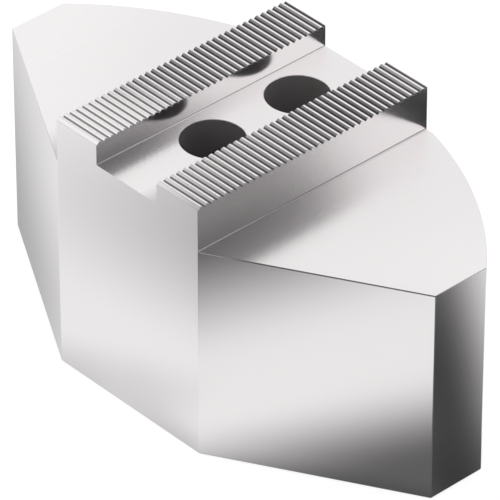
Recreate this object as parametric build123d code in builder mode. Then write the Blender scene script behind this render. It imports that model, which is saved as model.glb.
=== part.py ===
from build123d import *
import os
from math import ceil, radians, sqrt, tan

# Machinable soft jaw for a three-jaw power chuck, lying with its serrated side up.
# X runs across the jaw, Y from the nose towards the back, Z up.
# The origin is on the centre plane, halfway along the jaw, in its bottom face.

# Driving dimensions of the block, millimetres and degrees
jaw_width = 120.0        # across the two wing tips
jaw_length = 59.3        # nose face to rear flat
wing_height = 47.7       # bottom face to wing tops
nose_angle = 60.0        # each wing's front face, measured from the centre plane
tip_length = 13.2        # flat at the end of each wing
back_radius = 82.4       # arc of the back, from one wing's flat to the other's

# Raised rib that carries the two serrated rails, with the tongue slot between them
rib_width = 40.0         # also the width of the nose face
rib_rise = 10.0          # wing tops to tooth crests
slot_width = 17.0
slot_depth = 5.0
corner_radius = 0.2      # left by the cutter along the rib's feet and in the slot

# Serration of one sixteenth of an inch by 90 degrees
tooth_pitch = 25.4 / 16
tooth_angle = 90.0       # between the two flanks of a groove
crest_land = 0.4         # flat left on each tooth
first_crest = 0.95       # nose face to the middle of the first tooth

# Two socket-head screws, one behind the other in the slot
screw_count = 2
screw_clearance = 13.0   # diameter of the through holes
head_pocket = 20.0       # diameter of the counterbores
screw_spacing = 22.0
first_screw = 22.0       # nose face to the first hole
screw_grip = 18.0        # material under each screw head

edge_break = 0.1         # outer edges
rim_break = 0.1          # mouths of the holes

# Levels and places that follow from them
crest_height = wing_height + rib_rise
slot_floor = crest_height - slot_depth
half_jaw = jaw_width / 2
half_rib = rib_width / 2
half_slot = slot_width / 2
nose_y = -jaw_length / 2
rear_y = jaw_length / 2
slant_end_y = nose_y + (half_jaw - half_rib) / tan(radians(nose_angle))
tip_end_y = slant_end_y + tip_length
back_centre_y = tip_end_y - sqrt(back_radius**2 - half_jaw**2)
screw_ys = [nose_y + first_screw + n * screw_spacing for n in range(screw_count)]
groove_width = tooth_pitch - crest_land
groove_depth = groove_width / 2 / tan(radians(tooth_angle / 2))
groove_count = ceil((jaw_length - first_crest + groove_width / 2) / tooth_pitch + 0.5)
groove_ys = [nose_y + first_crest + (n - 0.5) * tooth_pitch for n in range(groove_count)]

# Plan of the jaw: nose, slanted faces, wing tips and arc, with the rib running right through
with BuildSketch() as plan:
    Polygon(
        (half_rib, nose_y),
        (half_jaw, slant_end_y),
        (half_jaw, rear_y),
        (-half_jaw, rear_y),
        (-half_jaw, slant_end_y),
        (-half_rib, nose_y),
        align=None,
    )
    with Locations((0, back_centre_y)):
        Circle(back_radius, mode=Mode.INTERSECT)
    Rectangle(rib_width, jaw_length)
    chamfer(vertices(), edge_break)

# Rib from the bottom face up: one section along the jaw, trimmed to the plan
with BuildPart() as rib:
    foot_x = half_rib + 2 * corner_radius
    with BuildSketch(Plane.XZ):
        with BuildLine():
            Polyline(
                (0, 0),
                (foot_x, 0),
                (foot_x, wing_height),
                (half_rib, wing_height),
                (half_rib, crest_height),
                (half_slot, crest_height),
                (half_slot, slot_floor),
                (0, slot_floor),
                close=True,
            )
        make_face()
        mirror(about=Plane.YZ)
        at_wing_top = vertices().filter_by_position(Axis.Y, wing_height, wing_height)
        at_slot_floor = vertices().filter_by_position(Axis.Y, slot_floor, slot_floor)
        feet = at_wing_top.filter_by_position(Axis.X, -half_rib, half_rib)
        slot_corners = at_slot_floor.filter_by_position(Axis.X, -half_slot, half_slot)
        fillet(feet + slot_corners, corner_radius)
        rail_corners = vertices().filter_by_position(Axis.Y, crest_height, crest_height)
        chamfer(rail_corners, edge_break)
    extrude(amount=jaw_length, both=True)
    with BuildSketch():
        add(plan.sketch)
    extrude(amount=crest_height, mode=Mode.INTERSECT)

with BuildPart() as soft_jaw:
    # Block up to the wing tops, then the rib
    with BuildSketch():
        add(plan.sketch)
    extrude(amount=wing_height)
    wing_top = faces().sort_by(Axis.Z)[-1]
    chamfer(wing_top.edges(), edge_break)
    add(rib.part)
    bottom = faces().sort_by(Axis.Z)[0]
    chamfer(bottom.edges(), edge_break)

    # Screw holes, counterbored from the bottom face
    with Locations(*[Plane((0, y, 0), x_dir=(1, 0, 0), z_dir=(0, 0, -1)) for y in screw_ys]):
        CounterBoreHole(screw_clearance / 2, head_pocket / 2, slot_floor - screw_grip)
    rims = edges(Select.LAST).filter_by(GeomType.CIRCLE)
    slot_mouths = rims.filter_by_position(Axis.Z, slot_floor, slot_floor)
    pocket_mouths = rims.filter_by_position(Axis.Z, 0, 0)
    chamfer(slot_mouths + pocket_mouths, rim_break)

    # Serration: V grooves across both rails
    with BuildSketch(Plane.YZ):
        with Locations(*[(y, crest_height) for y in groove_ys]):
            Polygon(
                (-groove_width / 2, 0),
                (0, -groove_depth),
                (groove_width / 2, 0),
                align=None,
            )
    extrude(amount=rib_width, both=True, mode=Mode.SUBTRACT)

os.makedirs("parts", exist_ok=True)
soft_jaw.part.label = "soft_jaw"
export_step(soft_jaw.part, "parts/soft_jaw.step")
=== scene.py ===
import math
from typing import NamedTuple

import bpy
from bpy.props import FloatProperty, FloatVectorProperty, PointerProperty
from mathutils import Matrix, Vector


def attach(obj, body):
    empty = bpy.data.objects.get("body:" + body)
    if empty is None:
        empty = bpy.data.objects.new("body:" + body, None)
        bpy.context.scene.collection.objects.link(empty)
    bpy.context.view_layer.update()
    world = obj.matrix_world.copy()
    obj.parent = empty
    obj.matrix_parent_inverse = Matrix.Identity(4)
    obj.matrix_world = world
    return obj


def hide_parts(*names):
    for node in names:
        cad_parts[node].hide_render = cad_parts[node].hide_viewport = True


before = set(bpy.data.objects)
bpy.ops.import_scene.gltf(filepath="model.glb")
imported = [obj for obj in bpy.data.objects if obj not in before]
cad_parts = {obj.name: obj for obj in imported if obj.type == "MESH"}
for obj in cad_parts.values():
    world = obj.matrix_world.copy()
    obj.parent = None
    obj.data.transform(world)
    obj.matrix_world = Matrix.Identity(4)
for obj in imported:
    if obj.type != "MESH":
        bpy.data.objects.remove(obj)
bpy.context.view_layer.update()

bl_info = {
    "name": "Machinable Soft Jaw",
    "version": (1, 0, 0),
    "blender": (4, 5, 0),
    "location": "View3D > Sidebar > Soft Jaw",
    "description": "Finishes the serrated soft jaw and lights it for its picture",
    "category": "Object",
}

NODE = "soft_jaw"
BODY = "root"
MM = 0.001
BLACK = (0.0, 0.0, 0.0, 1.0)
WHITE = (1.0, 1.0, 1.0, 1.0)

# Cleaning of the jaw's mesh: points that are one, facets that are flat, edges that are sharp
SAME_POINT = 0.001 * MM
FLAT_ANGLE = math.radians(0.5)
EDGE_ANGLE = math.radians(20)

# The jaw, X across it, Y from nose to back, Z up: front of the wings, rib, slot and back
NOSE_CORNER = (20.0 * MM, -29.65 * MM)
WING_ANGLE = math.radians(60)
WING_TIP_X = 60.0 * MM
BACK_CENTRE_Y = -49.83 * MM
BACK_RADIUS = 82.4 * MM
RIB_X = 20.0 * MM
WING_TOP = 47.7 * MM
SLOT_X = 8.5 * MM
SLOT_FLOOR = 52.7 * MM

# Marks in the metal end softly, over one of these widths
SOFT = 1.0 * MM
FADE = 0.1 * MM
SHARP = 0.02 * MM

# How fine the ground surface is: lines and breaks in a line per metre, and drifts in the polish
LINES = 4500.0
BREAKS = 40.0
DRIFTS = 55.0
FLATNESS = 6

# Slopes and round rims: faces whose normal rises between these
TILT = (0.5, 0.85)
TILT_FADE = 0.1

# The drilled bores lie inside this half width, this half length and below this level
BORE_X = 10.5 * MM
BORE_Y = 28.0 * MM
BORE_TOP = 52.65 * MM

# Painted shade in the roots of the teeth: its levels, and how it deepens towards the back
ROOT_Z = (55.0 * MM, 57.3 * MM)
ROOT_FADE = 0.12 * MM
ROOT_Y = (-28.9 * MM, 20.0 * MM)
ROOT_AT_NOSE = 0.85


class Corner(NamedTuple):
    """An inner corner along the jaw: where it is, and how far up its painted shade reaches."""

    x: float
    z: float
    reach: float


# Painted shade in the corners at the feet of the rib and of the slot's walls
CORNERS = (
    Corner(x=RIB_X, z=WING_TOP, reach=0.25 * MM),
    Corner(x=SLOT_X, z=SLOT_FLOOR, reach=0.19 * MM),
)
CORNER_WIDTH = 0.25 * MM
CORNER_START = 0.08 * MM
CORNER_Y = (-32.0 * MM, 4.0 * MM)

# Painted shade beside those corners: how far it runs out on a wing and in the slot
WING_SHADE_X = 30.0 * MM
WING_SHADE_Z = (49.0 * MM, 50.0 * MM)
SLOT_SHADE_X = 3.0 * MM
SLOT_SHADE_Z = (52.5 * MM, 53.0 * MM)
SIDE_SHADE_Y = (20.0 * MM, -30.0 * MM)

# Thin line of painted shade under the front edge of the right wing
EDGE_X = (22.0 * MM, 30.0 * MM)
EDGE_Y = (-5.0 * MM, -7.0 * MM)
EDGE_Z = (47.45 * MM, 47.62 * MM)
EDGE_FADE = 0.03 * MM

# Rims of the screw holes in the slot, where painted shade dims their glint
RIM_X = (8.0 * MM, 7.0 * MM)
RIM_Y = (-22.0 * MM, 28.0 * MM)
RIM_Z = (52.5 * MM, 52.72 * MM)


class SoftArea(NamedTuple):
    """A dark ellipse that fades out at its rim; millimetres and degrees."""

    x: float
    y: float
    half_length: float
    half_width: float
    turn: float
    softness: float
    depth: float


# Painted shade in the floor that only the polished faces mirror: soft dark areas round the jaw
FLOOR_SHADES = (
    SoftArea(x=185, y=-12, half_length=198, half_width=28, turn=-0.5, softness=0.34, depth=0.866),
    SoftArea(x=82, y=-130, half_length=124, half_width=35, turn=-20.8, softness=0.57, depth=0.995),
    SoftArea(x=-338, y=156, half_length=327, half_width=18, turn=-29.8, softness=0.35, depth=1.0),
    SoftArea(x=176, y=78, half_length=165, half_width=14, turn=32.5, softness=0.39, depth=0.955),
    SoftArea(x=43, y=88, half_length=90, half_width=14, turn=-7.3, softness=0.08, depth=1.0),
)
FLOOR_SIZE = 6.0
FLOOR_DROP = 0.1 * MM

# Painted shadow on the floor under the jaw: the little light left there, and the width over which
# it falls
UNDER_JAW = 0.024
SHADOW_FADE = 0.3 * MM

# Painted shade above the jaw that only its reflections see
OVERHEAD_SHADES = (
    SoftArea(x=203, y=14, half_length=254, half_width=86, turn=17.2, softness=0.04, depth=0.749),
    SoftArea(x=-107, y=-41, half_length=29, half_width=92, turn=-74.2, softness=0.1, depth=0.774),
    SoftArea(x=-50, y=142, half_length=120, half_width=73, turn=89.3, softness=0.18, depth=0.093),
    SoftArea(x=52, y=-57, half_length=36, half_width=13, turn=30.0, softness=0.25, depth=0.99),
)
OVERHEAD_SIZE = 3.0
OVERHEAD_HEIGHT = 100 * MM

# Painted shade in walls all round that only reflections see, darkest near the floor in front,
# behind and at both sides
WALL_SIDES = 96
WALL_REACH = 2400 * MM
WALL_HEIGHT = 1100 * MM
WALL_DEPTH = 0.5

SENSOR_WIDTH = 36.0
CLIP_RANGE = 10.0


class Value:
    """A socket of a material's node tree, with the usual operators as Math nodes."""

    def __init__(self, shader, socket):
        self.shader = shader
        self.socket = socket

    def _math(self, operation, *values):
        return self.shader.node("ShaderNodeMath", {"operation": operation}, *values)

    def __add__(self, other):
        return self._math("ADD", self, other)

    __radd__ = __add__

    def __mul__(self, other):
        return self._math("MULTIPLY", self, other)

    __rmul__ = __mul__

    def __sub__(self, other):
        return self._math("SUBTRACT", self, other)

    def __rsub__(self, other):
        return self._math("SUBTRACT", other, self)

    def __truediv__(self, other):
        return self._math("DIVIDE", self, other)

    def __pow__(self, other):
        return self._math("POWER", self, other)

    def __abs__(self):
        return self._math("ABSOLUTE", self)


class Shader:
    """Builds one material or world tree from Python expressions."""

    def __init__(self, owner):
        owner.use_nodes = True
        self.tree = owner.node_tree
        self.tree.nodes.clear()

    def node(self, kind, settings=None, *values, out=0, **named):
        """Adds a node, sets its settings, then fills its sockets in order and by name."""
        made = self.tree.nodes.new(kind)
        for name, setting in (settings or {}).items():
            setattr(made, name, setting)
        pairs = list(zip(made.inputs, values)) + [(made.inputs[n], v) for n, v in named.items()]
        for socket, value in pairs:
            if isinstance(value, Value):
                self.tree.links.new(value.socket, socket)
            elif value is not None:
                socket.default_value = value
        return Value(self, made.outputs[out]) if made.outputs else None

    def place(self):
        """Where a point of the surface is on its object."""
        return self.node("ShaderNodeTexCoord", out=3)

    def normal(self):
        """Which way the surface faces on its object."""
        return self.node("ShaderNodeTexCoord", out=1)

    def camera_ray(self):
        return self.node("ShaderNodeLightPath")

    def glossy_ray(self):
        return self.node("ShaderNodeLightPath", out=3)

    def mix_color(self, factor, first, second, blend="MIX"):
        """Goes from the first colour to the blend of both as the factor goes from 0 to 1."""
        values = (factor, None, None, None, None, None, first, second)
        settings = {"data_type": "RGBA", "blend_type": blend}
        return self.node("ShaderNodeMix", settings, *values, out=2)

    def grey(self, level):
        """A colour whose three parts are all the same value."""
        return self.node("ShaderNodeCombineColor", None, level, level, level)

    def split(self, vector):
        """The X, Y and Z of a vector."""
        x = self.node("ShaderNodeSeparateXYZ", None, vector)
        return x, Value(self, x.socket.node.outputs[1]), Value(self, x.socket.node.outputs[2])

    def ramp(self, value, start, end, low=0.0, high=1.0):
        """Goes smoothly from low to high as the value goes from start to end."""
        steps = (value, start, end, low, high)
        return self.node("ShaderNodeMapRange", {"interpolation_type": "SMOOTHSTEP"}, *steps)

    def between(self, value, low, high, fade):
        """1 where the value lies between two limits, fading to 0 just outside them."""
        return self.ramp(value, low - fade, low) * self.ramp(value, high + fade, high)

    def noise(self, place, scale, detail):
        return self.node("ShaderNodeTexNoise", None, place, Scale=scale, Detail=detail)

    def light(self, place, area):
        """How much light a soft area leaves at a place on its plane: 1 outside it."""
        x, y, _ = self.split(place)
        cos, sin = math.cos(math.radians(area.turn)), math.sin(math.radians(area.turn))
        east = x - area.x * MM
        north = y - area.y * MM
        along = (east * cos + north * sin) / (area.half_length * MM)
        across = (north * cos - east * sin) / (area.half_width * MM)
        reach = (along * along + across * across) ** 0.5
        return self.ramp(reach, 1 - area.softness, 1 + area.softness, low=1 - area.depth)

    def lights(self, place, areas):
        """What several soft areas leave together."""
        left = 1.0
        for area in areas:
            left = self.light(place, area) * left
        return left

    def surface(self, shader):
        self.node("ShaderNodeOutputMaterial", None, shader)


def new_material(name):
    material = bpy.data.materials.new(name)
    return material, Shader(material)


class JawSurface:
    """Masks over the jaw: each is 1 on the part that it names and 0 elsewhere."""

    def __init__(self, shader):
        self.s = shader
        self.place = shader.place()
        self.x, self.y, self.z = shader.split(self.place)
        self.off_centre = abs(self.x)
        _, _, up = shader.split(shader.normal())
        self.flat = abs(up) ** FLATNESS
        self.tilted = shader.between(up, *TILT, TILT_FADE)

    def lines(self):
        """Grinding lines: along the jaw on the faces that lie flat, level on the upright ones."""
        s = self.s
        along = s.node("ShaderNodeMapping", None, self.place, Scale=(LINES, BREAKS, LINES))
        level = s.node("ShaderNodeMapping", None, self.place, Scale=(BREAKS, BREAKS, LINES))
        lines_flat = s.noise(along, 1.0, 2.0)
        lines_upright = s.noise(level, 1.0, 2.0)
        return lines_upright + (lines_flat - lines_upright) * self.flat

    def bores(self):
        s = self.s
        across = s.ramp(self.off_centre, BORE_X + FADE, BORE_X)
        along = s.between(self.y, -BORE_Y, BORE_Y, FADE)
        return across * along * s.ramp(self.z, BORE_TOP, BORE_TOP - FADE)

    def roots(self):
        """Painted shade on the lower parts of the teeth, a little less near the nose."""
        s = self.s
        on_teeth = self.tilted * s.between(self.z, *ROOT_Z, ROOT_FADE)
        behind_nose = s.ramp(self.y, ROOT_Y[0] - FADE, ROOT_Y[0])
        return on_teeth * behind_nose * s.ramp(self.y, *ROOT_Y, ROOT_AT_NOSE)

    def corners(self):
        """Painted shade in thin strips just above the inner corners, fading in from the nose."""
        s = self.s
        strips = 0.0
        for corner in CORNERS:
            sides = (corner.x - CORNER_WIDTH, corner.x + CORNER_WIDTH)
            ends = (corner.z + CORNER_START, corner.z + corner.reach)
            strip = s.between(self.off_centre, *sides, SHARP) * s.between(self.z, *ends, SHARP)
            strips = strips + strip
        return strips * s.ramp(self.y, *CORNER_Y)

    def side_painted_shade(self):
        """Painted shade on the flat faces beside the inner corners, less and less with distance."""
        s = self.s
        beside_rib = s.ramp(self.off_centre, WING_SHADE_X, RIB_X)
        on_wing = beside_rib * s.ramp(self.off_centre, RIB_X - FADE, RIB_X)
        on_wing = on_wing * s.ramp(self.z, WING_SHADE_Z[1], WING_SHADE_Z[0])
        beside_wall = s.ramp(self.off_centre, SLOT_SHADE_X, SLOT_X)
        in_slot = beside_wall * s.ramp(self.off_centre, SLOT_X + FADE, SLOT_X)
        in_slot = in_slot * s.between(self.z, *SLOT_SHADE_Z, FADE)
        return self.flat * (on_wing + in_slot) * s.ramp(self.y, *SIDE_SHADE_Y)

    def edge(self):
        """A line of painted shade just under the front edge of one wing."""
        s = self.s
        upright = (1 - self.flat) * s.between(self.z, *EDGE_Z, EDGE_FADE)
        return upright * s.ramp(self.x, *EDGE_X) * s.ramp(self.y, *EDGE_Y)

    def rims(self):
        # Painted shade on the rims of the screw holes, dimming their glint
        s = self.s
        level = self.tilted * s.between(self.z, *RIM_Z, SHARP)
        return level * s.ramp(self.off_centre, *RIM_X) * s.between(self.y, *RIM_Y, SOFT)


def satin_steel(finish):
    """Fine ground steel: a bright metal with faint lines, painted shade in its roots, corners and
    rims, and dull bores.
    """
    material, s = new_material("satin_steel")
    jaw = JawSurface(s)
    lines = jaw.lines()
    line = lines - 0.5
    drift = s.noise(jaw.place, DRIFTS, 3.0) - 0.5

    rough = finish.roughness + drift * finish.roughness_spread + line * finish.line_roughness
    rough = rough + jaw.flat * finish.flat_roughness + jaw.bores() * finish.bore_roughness

    # Painted shade in the base colour: darker in the roots of the teeth, the inner corners, beside
    # them, under one wing's edge and on the hole rims
    tone = 1 - jaw.roots() * (1 - finish.root_tone) - jaw.corners() * (1 - finish.corner_tone)
    tone = tone * (1 - jaw.side_painted_shade() * finish.side_painted_shade)
    tone = tone * (1 - jaw.edge() * finish.edge_painted_shade)
    tone = tone * (1 - jaw.rims() * finish.rim_shade)
    tone = tone * (1 + line * finish.line_tone)

    steel = s.node(
        "ShaderNodeBsdfPrincipled",
        None,
        Roughness=rough,
        Metallic=1.0,
        Normal=s.node("ShaderNodeBump", None, Distance=finish.line_depth, Height=lines),
        **{"Base Color": s.mix_color(1.0, s.grey(tone), (*finish.metal, 1.0), "MULTIPLY")},
    )
    s.surface(steel)
    return material


def factor(name, description, default):
    return FloatProperty(
        name=name,
        description=description,
        subtype="FACTOR",
        min=0.0,
        max=1.0,
        default=default,
    )


def length(name, description, default):
    return FloatProperty(
        name=name,
        description=description,
        subtype="DISTANCE",
        unit="LENGTH",
        default=default,
    )


def angle(name, description, degrees):
    return FloatProperty(
        name=name,
        description=description,
        subtype="ANGLE",
        unit="ROTATION",
        default=math.radians(degrees),
    )


class JawFinish(bpy.types.PropertyGroup):
    """Sizes and colours of the jaw's finish"""

    metal: FloatVectorProperty(
        name="Metal",
        description="Colour of the bare metal",
        subtype="COLOR",
        size=3,
        min=0.0,
        max=1.0,
        default=(0.906, 0.880, 0.885),
    )
    roughness: factor("Roughness", "How far the polish scatters a reflection", 0.18)
    flat_roughness: factor("Flat Roughness", "How much duller the faces that lie flat are", 0.05)
    bore_roughness: factor("Bore Roughness", "How much duller the drilled bores are", 0.2)
    roughness_spread: factor("Roughness Spread", "How far the polish varies over a face", 0.02)
    line_roughness: factor(
        "Line Roughness", "How far the polish varies from one grinding line to the next", 0.04
    )
    line_tone: factor(
        "Line Tone", "How far the brightness varies from one grinding line to the next", 0.04
    )
    line_depth: length("Line Depth", "Depth of the grinding lines", 0.001 * MM)
    # Painted shade: how much the flat faces beside the inner corners are darkened
    side_painted_shade: factor("Film", "How much the oil beside the inner corners darkens the metal", 0.34)
    # Painted shade: how much the line under one wing's front edge is darkened
    edge_painted_shade: factor("Edge Line", "How much the line of oil under one front edge darkens", 0.7)
    # Painted shade on the rims of the screw holes
    rim_shade: factor("Rim Shade", "How much darker the rims of the screw holes are", 0.5)
    # Painted shade: the brightness left in the inner corners
    corner_tone: factor("Corner Tone", "Brightness that is left in the inner corners", 0.12)
    # Painted shade: the brightness left in the roots of the teeth
    root_tone: factor("Root Tone", "Brightness that is left in the roots of the teeth", 0.14)
    edge_radius: length("Edge Radius", "Rounding left where two machined faces meet", 0.03 * MM)


class JawStudio(bpy.types.PropertyGroup):
    """Where the camera stands and how bright the floor is"""

    azimuth: angle("Azimuth", "Camera's turn round the jaw from the nose side", 47.448)
    elevation: angle("Elevation", "Camera's height above the horizon", 36.198)
    distance: length("Distance", "Camera to the point it looks at", 1167.6 * MM)
    aim: FloatVectorProperty(
        name="Aim",
        description="Point in the middle of the picture",
        subtype="TRANSLATION",
        unit="LENGTH",
        size=3,
        default=(0.0, 1.94 * MM, 21.77 * MM),
    )
    lens: FloatProperty(
        name="Lens",
        description="Focal length in millimetres on a 36 mm sensor",
        default=433.0,
    )
    floor_grey: factor("Floor Grey", "How much of the surroundings' light the floor returns", 0.35)
    floor_glow: factor("Floor Glow", "Light added to the floor where the camera sees it", 0.75)
    floor_mirrored: factor("Floor Mirrored", "Brightness of the floor in the jaw's faces", 0.935)


def deselect_all():
    if bpy.context.mode != "OBJECT":
        bpy.ops.object.mode_set(mode="OBJECT")
    bpy.ops.object.select_all(action="DESELECT")


def pick(thing):
    deselect_all()
    thing.select_set(True)
    bpy.context.view_layer.objects.active = thing


class SOFTJAW_OT_jaw(bpy.types.Operator):
    """Finish the machined jaw: clean faces, small rounds on its edges, satin metal"""

    bl_idname = "softjaw.jaw"
    bl_label = "Finish Jaw"

    def execute(self, context):
        finish = context.scene.softjaw_finish
        jaw = bpy.data.objects.new("machined_jaw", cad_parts[NODE].data.copy())
        context.scene.collection.objects.link(jaw)
        pick(jaw)
        bpy.ops.mesh.customdata_custom_splitnormals_clear()
        bpy.ops.object.mode_set(mode="EDIT")
        bpy.ops.mesh.select_all(action="SELECT")
        bpy.ops.mesh.remove_doubles(threshold=SAME_POINT)
        bpy.ops.mesh.dissolve_limited(angle_limit=FLAT_ANGLE)
        bpy.ops.object.mode_set(mode="OBJECT")
        bevel = jaw.modifiers.new("edges", "BEVEL")
        bevel.width = finish.edge_radius
        bevel.segments = 2
        bevel.limit_method = "ANGLE"
        bevel.angle_limit = EDGE_ANGLE
        bevel.harden_normals = False
        bpy.ops.object.modifier_apply(modifier=bevel.name)
        bpy.ops.object.shade_smooth()
        normals = jaw.modifiers.new("normals", "WEIGHTED_NORMAL")
        bpy.ops.object.modifier_apply(modifier=normals.name)
        jaw.data.materials.clear()
        jaw.data.materials.append(satin_steel(finish))
        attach(jaw, BODY)
        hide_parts(NODE)
        return {"FINISHED"}


class SOFTJAW_OT_stage(bpy.types.Operator):
    """Set the floor, what the jaw mirrors, the white surroundings and the camera"""

    bl_idname = "softjaw.stage"
    bl_label = "Set Stage"

    def execute(self, context):
        studio = context.scene.softjaw_studio
        self.floor(studio)
        self.overhead()
        self.walls()
        self.surroundings(context)
        self.camera(context, studio)
        return {"FINISHED"}

    def floor(self, studio):
        """A plain white floor that keeps the jaw's shadow; the jaw mirrors the painted shade on it.
        """
        deselect_all()
        bpy.ops.mesh.primitive_plane_add(size=FLOOR_SIZE, location=(0, 0, -FLOOR_DROP))
        floor = bpy.context.object
        floor.name = "floor"
        material, s = new_material("floor_white")
        place = s.place()
        camera_ray = s.camera_ray()
        grey = (studio.floor_grey, studio.floor_grey, studio.floor_grey, 1)
        diffuse = s.node("ShaderNodeBsdfDiffuse", None, s.mix_color(camera_ray, BLACK, grey))
        # Painted shade that only glossy rays see: soft dark areas in the floor
        mirrored = s.lights(place, FLOOR_SHADES) * studio.floor_mirrored
        shown = camera_ray * studio.floor_glow + s.glossy_ray() * mirrored
        glow = s.node("ShaderNodeEmission", None, Strength=shown * self.shadow(s, place))
        s.surface(s.node("ShaderNodeAddShader", None, diffuse, glow))
        floor.data.materials.append(material)

    def shadow(self, s, place):
        """The light that the jaw leaves on the floor, painted: little under it, all outside its
        plan.
        """
        x, y, _ = s.split(place)
        out = abs(x)
        corner_x, corner_y = NOSE_CORNER
        past_ends = abs(y) + corner_y
        past_slant = (out - corner_x) * math.cos(WING_ANGLE) + (corner_y - y) * math.sin(WING_ANGLE)
        past_back = (x * x + (y - BACK_CENTRE_Y) ** 2) ** 0.5 - BACK_RADIUS
        inside = 1.0
        for past in (out - WING_TIP_X, past_ends, past_slant, past_back):
            inside = s.ramp(past, 0.0, -SHADOW_FADE) * inside
        return 1 - inside * (1 - UNDER_JAW)

    def overhead(self):
        """A sheet over the jaw that only its reflections see, with painted shade in soft dark
        areas.
        """
        deselect_all()
        bpy.ops.mesh.primitive_plane_add(size=OVERHEAD_SIZE, location=(0, 0, OVERHEAD_HEIGHT))
        sheet = bpy.context.object
        sheet.name = "overhead"
        material, s = new_material("overhead_painted_shade")
        clear = s.lights(s.place(), OVERHEAD_SHADES)
        self.hang_reflected_shade(sheet, material, s, clear)

    def walls(self):
        """A round wall that only the jaw's reflections see, with painted shade near the floor."""
        deselect_all()
        bpy.ops.mesh.primitive_cylinder_add(
            vertices=WALL_SIDES,
            radius=WALL_REACH,
            depth=WALL_HEIGHT,
            end_fill_type="NOTHING",
            location=(0, 0, WALL_HEIGHT / 2),
        )
        wall = bpy.context.object
        wall.name = "walls"
        material, s = new_material("wall_painted_shade")
        x, y, z = s.split(s.place())
        facing = ((x * x - y * y) / WALL_REACH**2) ** 2
        grey = facing * s.ramp(z, WALL_HEIGHT / 2, -WALL_HEIGHT / 2)
        self.hang_reflected_shade(wall, material, s, 1 - grey * WALL_DEPTH)

    def hang_reflected_shade(self, thing, material, s, clear):
        """Gives a thing that only reflections see its painted shade: black where clear is 0."""
        black = s.node("ShaderNodeEmission", None, Color=BLACK, Strength=0.0)
        through = s.node("ShaderNodeBsdfTransparent")
        s.surface(s.node("ShaderNodeMixShader", None, clear, black, through))
        thing.data.materials.append(material)
        thing.visible_camera = False
        thing.visible_diffuse = False
        thing.visible_transmission = False
        thing.visible_shadow = False

    def surroundings(self, context):
        """Plain white light from all round."""
        world = bpy.data.worlds.new("studio")
        context.scene.world = world
        s = Shader(world)
        glow = s.node("ShaderNodeBackground", None, Color=WHITE, Strength=1.0)
        s.node("ShaderNodeOutputWorld", None, glow)

    def camera(self, context, studio):
        level = math.cos(studio.elevation)
        back = Vector(
            (
                math.sin(studio.azimuth) * level,
                -math.cos(studio.azimuth) * level,
                math.sin(studio.elevation),
            )
        )
        bpy.ops.object.camera_add(location=Vector(studio.aim) + back * studio.distance)
        camera = context.object
        camera.name = "camera"
        camera.rotation_mode = "QUATERNION"
        camera.rotation_quaternion = (-back).to_track_quat("-Z", "Y")
        camera.data.sensor_width = SENSOR_WIDTH
        camera.data.lens = studio.lens
        camera.data.clip_start = studio.distance / CLIP_RANGE
        camera.data.clip_end = studio.distance * CLIP_RANGE
        context.scene.camera = camera


class SOFTJAW_PT_panel(bpy.types.Panel):
    """Lists the jaw's operators and settings"""

    bl_idname = "SOFTJAW_PT_panel"
    bl_label = "Soft Jaw"
    bl_space_type = "VIEW_3D"
    bl_region_type = "UI"
    bl_category = "Soft Jaw"

    def draw(self, context):
        layout = self.layout
        layout.operator("softjaw.jaw")
        for setting in JawFinish.__annotations__:
            layout.prop(context.scene.softjaw_finish, setting)
        layout.operator("softjaw.stage")
        for setting in JawStudio.__annotations__:
            layout.prop(context.scene.softjaw_studio, setting)


CLASSES = (JawFinish, JawStudio, SOFTJAW_OT_jaw, SOFTJAW_OT_stage, SOFTJAW_PT_panel)


def register():
    for cls in CLASSES:
        bpy.utils.register_class(cls)
    bpy.types.Scene.softjaw_finish = PointerProperty(type=JawFinish)
    bpy.types.Scene.softjaw_studio = PointerProperty(type=JawStudio)


def unregister():
    del bpy.types.Scene.softjaw_studio
    del bpy.types.Scene.softjaw_finish
    for cls in reversed(CLASSES):
        bpy.utils.unregister_class(cls)


def main():
    register()
    bpy.context.scene.view_settings.view_transform = "Standard"
    bpy.ops.softjaw.jaw()
    bpy.ops.softjaw.stage()


if __name__ == "__main__":
    main()
